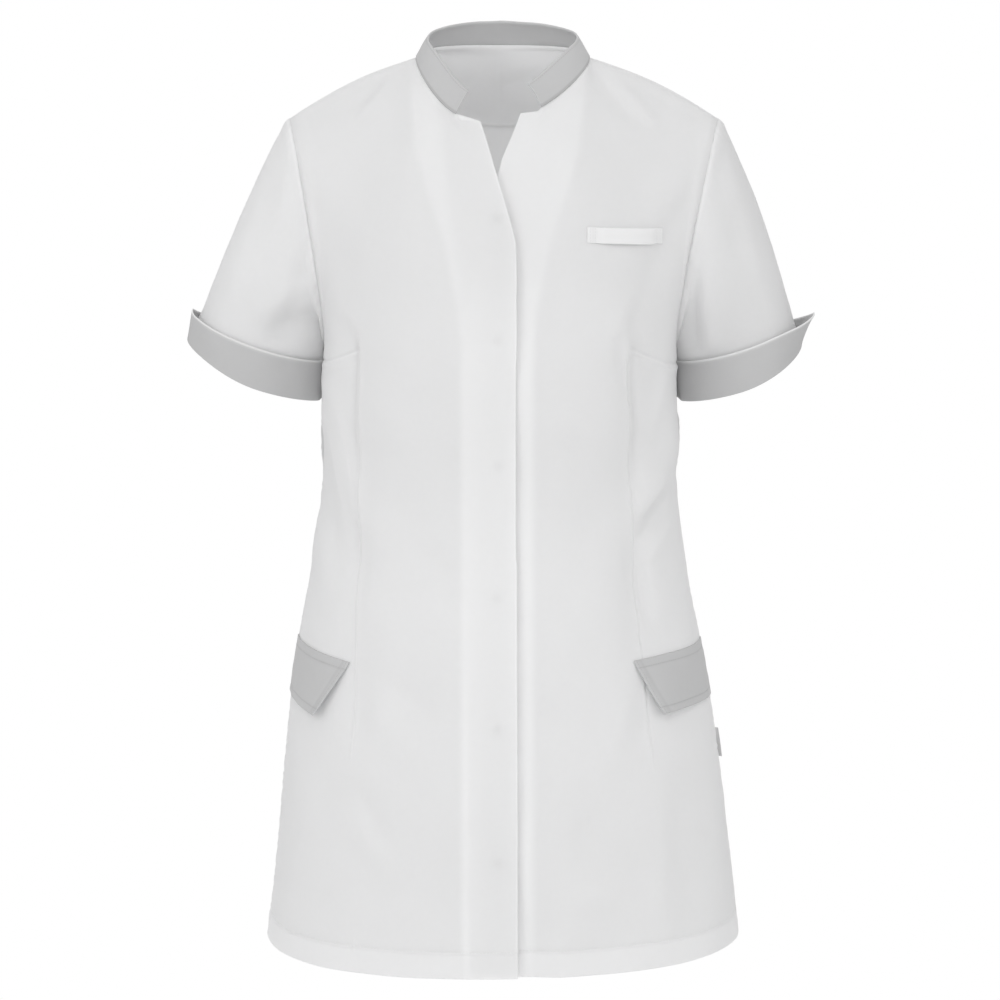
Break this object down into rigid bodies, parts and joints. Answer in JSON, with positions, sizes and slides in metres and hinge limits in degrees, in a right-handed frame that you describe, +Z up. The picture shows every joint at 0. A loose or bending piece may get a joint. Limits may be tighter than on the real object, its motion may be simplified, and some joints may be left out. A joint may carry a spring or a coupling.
{
  "type": "medical tunic",
  "caption": "Hollow short-sleeved medical tunic, filled out as worn, with stand collar, snap front, turn-up cuffs and pocket flaps.",
  "frame": {"origin": "where the wearer's shoulders and neck hold the garment: level with the neck points of the shoulder seams, on the garment's middle plane", "axes": "+Z up along the garment, front faces -Y, the wearer's left side is +X"},
  "size_m": [0.5479, 0.292, 0.8088],
  "materials": {
    "white_cloth": "matt white twill",
    "grey_cloth": "matt light grey twill",
    "snap_metal": "nickel-plated press snap"
  },
  "bodies": {
    "root": {"front_right": "white_cloth", "front_left": "white_cloth", "back": "white_cloth", "front_facing_right": "white_cloth", "back_facing": "white_cloth", "collar": "grey_cloth", "sleeve_right": "white_cloth", "sleeve_left": "white_cloth", "cuff_right": "grey_cloth", "cuff_left": "grey_cloth", "pocket_flap_right": "grey_cloth", "pocket_flap_left": "grey_cloth", "chest_loop": "white_cloth", "side_tab": "grey_cloth", "snap_1": "snap_metal", "snap_2": "snap_metal", "snap_3": "snap_metal", "snap_4": "snap_metal", "snap_5": "snap_metal", "snap_6": "snap_metal"}
  },
  "joints": []
}
